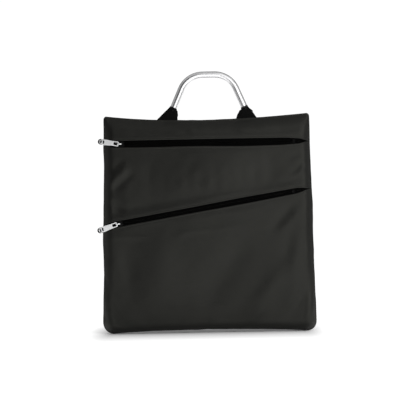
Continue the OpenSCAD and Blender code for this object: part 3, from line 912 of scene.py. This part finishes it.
def slider(z):
    """Lacquered slider: two pear-shaped plates, flanges that hold the coils, a post and a plated bridge."""
    s0 = z.slider
    lo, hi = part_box(z.name + "_slider_body")
    front_y, back_y = lo[1] / MM - SEAM_Y, hi[1] / MM - SEAM_Y
    half, plate_t, long = 4.6, 1.1, 6.5

    def shape(w):
        """Outline of a plate of half width w, whose narrow end is towards the zip's left."""
        lower = [(-long + 3.4, -w + 0.9), (-long + 5.2, -w + 0.2), (0.5, -w), (4.5, -w + 0.1),
                 (long - 0.4, -w + 0.9), (long, -w + 1.8), (long - 0.6, -1.2)]
        upper = [(a, -b) for a, b in reversed(lower)]
        return arc(-long + 2.2, 0, 2.2, 130, 230, 8) + lower + [(long - 0.9, 0)] + upper

    def part(word, outline, thick, bevel, y, replaced=()):
        plate(f"{z.name}_slider_{word}", outline, [], thick, bevel, LACQUER, z.name + "_slider",
              lambda a, b, out: z.at(s0 + a, b, y - out), replaced)

    part("front", shape(half), plate_t, 0.3, front_y + plate_t / 2, [z.name + "_slider_body"])
    part("back", shape(half - 0.3), plate_t, 0.3, back_y - plate_t / 2)
    gap = back_y - front_y - 2 * plate_t + 0.3
    part("post", rounded(-long + 0.7, -0.4, -long + 5, 0.4, 0.35), gap, 0.05, (front_y + back_y) / 2)
    for side, word in ((1, "upper"), (-1, "lower")):
        n0, n1 = sorted((side * 3.5, side * 4.2))
        part("flange_" + word, rounded(-2.6, n0, long - 0.8, n1, 0.3), z.tape_y - front_y - plate_t + 0.1,
             0.1, (z.tape_y + front_y + plate_t) / 2 - 0.15)
    bridge(z, s0, front_y)


BRIDGE_W, BRIDGE_T = 2.6, 1.2


def bridge(z, s0, foot_y):
    """Plated strip that rises from the slider's front plate and comes down again past the pull's bar."""
    lo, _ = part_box(z.name + "_slider_bridge")
    top = foot_y - (lo[1] / MM - SEAM_Y)
    mid = top - BRIDGE_T / 2
    path = [(-5.9, -0.5), (-5.9, 0.6), (-5.85, mid - 1.5), (-5.5, mid - 0.6), (-4.7, mid - 0.08),
            (-3.4, mid + 0.02), (-1.6, mid), (-0.1, mid - 0.25), (0.9, mid - 0.9), (1.5, mid - 1.9),
            (1.7, 0.4), (1.7, -0.5)]
    rings = []
    section = rounded(-BRIDGE_W / 2, -BRIDGE_T / 2, BRIDGE_W / 2, BRIDGE_T / 2, 0.4, 3)
    for i, (a, h) in enumerate(path):
        da = path[min(i + 1, len(path) - 1)][0] - path[max(i - 1, 0)][0]
        dh = path[min(i + 1, len(path) - 1)][1] - path[max(i - 1, 0)][1]
        size = math.hypot(da, dh)
        na, nh = -dh / size, da / size
        narrow = 1 - 0.22 * math.sin(math.pi * i / (len(path) - 1))
        for across, out in section:
            rings.append(Vector(z.at(s0 + a + na * out, across * narrow, foot_y - (h + nh * out))))
    count = len(section)
    faces = grid_faces(len(path), count, True, 0, wrap=True)
    faces.append(tuple(range(count)))
    faces.append(tuple(range(len(rings) - 1, len(rings) - count - 1, -1)))
    piece = mesh_piece(z.name + "_bridge", rings, faces, NICKEL, z.name + "_slider", subdivide=1)
    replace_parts(piece, z.name + "_slider_bridge")


def stop(z, node, s, n0, n1, long):
    """A black clamp pressed over the coil."""
    lo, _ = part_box(node)
    y0, y1 = lo[1] / MM - SEAM_Y, z.coil_front + 0.5
    return plate(node + "_clamp", rounded(s - long / 2, n0, s + long / 2, n1, 0.5), [], y1 - y0, 0.3, COIL,
                 "bag", lambda a, b, out: z.at(a, b, (y0 + y1) / 2 - out))


for z in ZIPS:
    for side in (1, -1):
        zip_tape(z, side)
        zip_coil(z, side)
    slider(z)
    pull_tab(z)
    left = z.along(centre(z.name + "_left_stops"))
    right = z.along(centre(z.name + "_right_stop"))
    for n0, n1, word in ((0.6, 3.4, "upper"), (-3.4, -0.6, "lower")):
        piece = stop(z, z.name + "_left_stops", left, n0, n1, 2.4)
        piece.name = f"{z.name}_left_clamp_{word}"
        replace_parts(piece, z.name + "_left_stops")
    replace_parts(stop(z, z.name + "_right_stop", right, -3.4, 3.4, 4.6), z.name + "_right_stop")


# ---------------- handle and its webbing tabs
HANDLE_X = case_point(JOINT_PLACES["handle_swing"]).x
PIN_Z = case_point(JOINT_PLACES["handle_swing"]).z
LEG_LEAN = math.radians(23.5)


def keep_node(node, material, bevel=0.0):
    """Shows a CAD node with a material, and with its edges slightly rounded."""
    o = frame["nodes"][node]
    o.data.materials.clear()
    o.data.materials.append(material)
    if bevel:
        m = o.modifiers.new("edges", "BEVEL")
        m.width, m.segments, m.limit_method = bevel * MM, 2, "ANGLE"
        m.angle_limit = math.radians(40)
        m.harden_normals = True


# Edges of the webbing tabs, by side: outer and inner edge as (distance from the handle's middle, height from
# the pin), then half the depth. The right one is sewn in nearer to the middle.
TAB_EDGES = {
    -1: [((94.0, -17.5), (56.4, -17.5), 0.9), ((93.0, -9.2), (56.2, -9.4), 1.3),
         ((88.6, -4.6), (56.4, -5.2), 3.4), ((84.2, -0.3), (55.6, -1.4), 5.3),
         ((79.3, 4.8), (55.6, 2.0), 6.2), ((73.8, 9.8), (56.0, 5.2), 6.7)],
    1: [((87.4, -17.5), (48.0, -17.5), 0.9), ((86.2, -9.2), (48.8, -9.4), 1.3),
        ((83.0, -4.6), (50.0, -5.2), 3.4), ((80.2, -0.3), (51.6, -1.4), 5.3),
        ((77.6, 4.2), (53.4, 2.0), 6.2), ((73.8, 8.2), (54.6, 4.8), 6.7)],
}
# Tilt of each collar, and its height up the leg from the pin
COLLAR = {-1: (math.radians(25), 12.4), 1: (math.radians(20), 10.9)}


def tab_sections(side):
    """Sections of a webbing tab from inside the top seam up to its collar on the tube.

    Each is (centre, direction across, half width, half depth, how square it is). side is -1 left, 1 right.
    """
    pin = centre("handle_pin_left" if side < 0 else "handle_pin_right")
    leg = Vector((-side * math.sin(LEG_LEAN), 0, math.cos(LEG_LEAN)))
    stops = []
    for k, (outer, inner, deep) in enumerate(TAB_EDGES[side]):
        a = Vector((HANDLE_X + side * outer[0], 0, PIN_Z + outer[1]))
        b = Vector((HANDLE_X + side * inner[0], 0, PIN_Z + inner[1]))
        across = (b - a) if side < 0 else (a - b)
        stops.append(((a + b) / 2, across.normalized(), across.length / 2, deep, 2.9 - 0.15 * k))
    tilt, height = COLLAR[side]
    tilted = Vector((math.cos(tilt), 0, side * math.sin(tilt)))
    pin = Vector((pin.x, 0, pin.z))
    for up, r in ((-0.8, 6.9), (0, 6.6), (0, 6.2), (-2, 6.12)):
        stops.append((pin + leg * (height + up), tilted, r, r, 2.0))
    return stops


def smooth_between(stops, count):
    """Sections resampled with a Catmull-Rom curve through them."""
    out = []
    for i in range(len(stops) - 1):
        quad = [stops[max(i - 1, 0)], stops[i], stops[i + 1], stops[min(i + 2, len(stops) - 1)]]
        steps = count if i < 6 else 2
        for k in range(steps):
            t = k / steps
            w = (-t + 2 * t**2 - t**3, 2 - 5 * t**2 + 3 * t**3, t + 4 * t**2 - 3 * t**3, -(t**2) + t**3)
            mix = []
            for part in range(5):
                value = quad[0][part] * (w[0] / 2)
                for q, weight in zip(quad[1:], w[1:]):
                    value = value + q[part] * (weight / 2)
                mix.append(value)
            out.append(mix)
    out.append(list(stops[-1]))
    return out


def webbing_tab(side, word):
    """Webbing folded over the handle's pin and wrapped round the tube's end, gathered as it narrows."""
    sections = smooth_between(tab_sections(side), 6)
    around = 96
    rows = []
    for i, (mid, across, half, deep, square) in enumerate(sections):
        share = i / (len(sections) - 1)
        gather = math.sin(math.pi * min(1.0, share * 1.25)) ** 0.7
        roll = 0.5 * bell(mid.z, PIN_Z - 1.5, 3.0) - 0.35 * bell(mid.z, PIN_Z + 5, 2.5)
        row = []
        for k in range(around):
            a = 2 * math.pi * k / around
            c, d = math.cos(a), math.sin(a)
            u = math.copysign(abs(c) ** (2 / square), c)
            v = math.copysign(abs(d) ** (2 / square), d)
            pleat = 0.22 * math.sin(9 * a + side + 2.2 * noise.noise(Vector((c, d, share * 2 + side))))
            crease = 0.45 * noise.noise(Vector((u * 1.3 + side * 5, share * 3.2, d)))
            push = gather * (pleat + crease) + roll
            row.append(mid + across * (u * (half + 0.5 * push)) + Vector((0, v * (deep + push), 0)))
        rows.append(row)
    faces = grid_faces(len(rows), around, True, 0, wrap=True)
    points = [p for row in rows for p in row]
    piece = mesh_piece("webbing_tab_" + word, points, faces, WEBBING, None, subdivide=1)
    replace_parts(piece, "webbing_loop_" + word)
    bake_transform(piece)


keep_node("handle_tube", ALUMINIUM)
for side, word in ((-1, "left"), (1, "right")):
    keep_node("handle_end_" + word, FITTING, 0.3)
    keep_node("handle_pin_" + word, STEEL, 0.2)
    webbing_tab(side, word)


# ---------------- inside: pocket lining and seam binding
def pocket_lining():
    """Lining between the front pocket and the main compartment, sewn in all round and slack in the middle."""
    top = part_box("pocket_lining")[1][2] / MM
    rows, cols = 40, 60
    front = []
    for i in range(rows):
        t = i / (rows - 1)
        z_side = base_z(-150) + 3 + (top - base_z(-150) - 3) * t
        left, right = -half_w(z_side, -1) + 6, half_w(z_side, 1) - 6
        line = []
        for j in range(cols):
            x = left + (right - left) * (j / (cols - 1))
            z = base_z(x) + 3 + (top - base_z(x) - 3) * t
            f = fill(x, z)
            up = max(0.0, 1 - (top - z) / 20)
            slack = 0.35 * f * noise.noise(Vector((x / 40, z / 55, 3)))
            flat = 1.2 + 3.6 * f + slack * (1 - up)
            line.append(Vector((x, -(flat + (panel_inner(x, z) - 0.9 - flat) * up * f), z)))
        front.append(line)
    back = [[p + Vector((0, 0.35, 0)) for p in line] for line in front]
    verts, faces = closed_sheet(front, back, False)
    piece = mesh_piece("lining", verts, faces, LINING, "bag")
    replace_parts(piece, "pocket_lining")


def seam_binding():
    """Grosgrain folded over the raw edges of the seam allowance, which runs round inside the seam."""
    inset, wide, thick = 1.6, 7.5, 0.55
    section = [(0.0, 0.0), (0.1, thick), (0.8, thick * 1.15), (wide * 0.5, thick),
               (wide - 0.8, thick * 1.1), (wide - 0.1, thick * 0.8), (wide, 0.0)]
    section += [(d, -y) for d, y in reversed(section[1:-1])]
    xs = [k * 11.0 for k in range(-15, 16)]
    zs = [20 + k * 20.6 for k in range(1, 17)]
    # Places round the seam, each with the direction inwards
    loop = [(x, base_z(x), 0, 1) for x in xs] + [(half_w(z, 1), z, -1, 0) for z in zs]
    loop += [(x, top_z(x), 0, -1) for x in xs[::-1]] + [(-half_w(z, -1), z, 1, 0) for z in zs[::-1]]
    points = []
    for x, z, nx, nz in loop:
        for d, y in section:
            points.append(Vector((x + nx * (inset + d), y + 0.05 * ripple(x + z, 40), z + nz * (inset + d))))
    rows, cols = len(loop), len(section)
    faces = grid_faces(rows, cols, True, 0, wrap=True)
    last = (rows - 1) * cols
    faces += [(last + (j + 1) % cols, last + j, j, (j + 1) % cols) for j in range(cols)]
    piece = mesh_piece("seam_binding_tape", points, faces, BINDING, "bag")
    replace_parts(piece, "seam_binding")


seam_binding()
pocket_lining()


# ---------------- stage
def floor():
    """Pale floor that glows with painted light: its emission paints the case's shadow, and it is dimmer far off at
    its sides in front.
    """
    n = new_material("stage_glow_painted_shadow")
    x, y, _ = n.axes(n.place())
    # The glow paints the case's contact shadow: it is nil under the case and within 12 mm of it, and rises to full
    # over 0.25 m away.
    beside = n.math("MULTIPLY", n.math("MAXIMUM", n.math("SUBTRACT", n.math("ABSOLUTE", x), 0.172), 0.0), 5.0)
    deep = n.math("MAXIMUM", n.math("SUBTRACT", y, 0.05), n.math("MULTIPLY", y, -1.0))
    deep = n.math("MAXIMUM", deep, 0.0)
    away = n.math("SQRT", n.math("MULTIPLY_ADD", beside, beside, n.math("MULTIPLY", deep, deep)))
    rise = n.math("POWER", n.ramp(away, 0.0, 1.0, 0.012, 0.25), 0.75)
    # Painted shade as well: the glow is dimmer far off at the sides in front of the case.
    wide = n.ramp(n.math("ABSOLUTE", x), 0.0, 0.74, 0.4, 0.62)
    beyond = n.math("MULTIPLY", wide, n.ramp(y, 1.0, 0.0, -0.1, 0.5))
    n.set(Base_Color=(0.9, 0.9, 0.9, 1), Roughness=0.95, Specular_IOR_Level=0.0,
          Emission_Color=(1, 1, 1, 1),
          Emission_Strength=n.math("MULTIPLY", rise, n.math("SUBTRACT", 0.8, beyond)))
    mesh = bpy.data.meshes.new("floor")
    mesh.from_pydata([(-1.7, -1.7, 0), (1.7, -1.7, 0), (1.7, 4, 0), (-1.7, 4, 0)], [], [(0, 1, 2, 3)])
    mesh.materials.append(n.owner)
    piece = bpy.data.objects.new("floor", mesh)
    bpy.context.collection.objects.link(piece)


def studio():
    """Soft light by direction: most from the front right, with strips at both sides, behind and above."""
    w = Nodes(bpy.data.worlds.new("studio"))
    bpy.context.scene.world = w.owner
    x, y, z = w.axes(w.add("TexCoord").outputs["Generated"])
    rising = w.ramp(x, 0.0, 0.75, 0.0, 0.3, smooth=True)
    falling = w.ramp(x, 1.0, 0.15, 0.5, 0.85, smooth=True)
    front = w.ramp(y, 0.92, 0.0, -0.7, -0.05, smooth=True)
    low = w.ramp(z, 1.0, 0.25, 0.7, 0.95, smooth=True)
    glow = w.math("MULTIPLY", w.math("MULTIPLY", rising, falling), w.math("MULTIPLY", front, low))
    sides = w.math("ADD", w.ramp(x, 0.42, 0.04, -0.88, -0.48, smooth=True),
                   w.ramp(x, 0.0, 0.45, 0.5, 0.85, smooth=True))
    behind = w.ramp(y, 0.0, 1.0, 0.95, 0.975, smooth=True)
    high = w.math("MULTIPLY", w.ramp(z, 0.0, 0.6, 0.5, 0.75, smooth=True), w.ramp(y, 1.0, 0.0, -0.4, -0.15))
    for part in (sides, behind, high):
        glow = w.math("ADD", glow, part)
    backdrop = w.tree.nodes["Background"]
    w.feed(backdrop.inputs["Strength"], glow)
    w.feed(backdrop.inputs["Color"], (1, 1, 1, 1))


floor()
studio()
area_light("overhead", (0, 0.35, 1.9), (0, 0.1, 0), (3.0, 1.4), 6)
area_light("key", (0.95, -0.8, 0.55), (0, 0, 0.2), (0.3, 0.9), 1.2)
area_light("card", (0.4, -0.75, 0.42), (0.4, 0, 0.42), (0.9, 1.1), 3.0)
bpy.context.scene.view_settings.view_transform = "Standard"
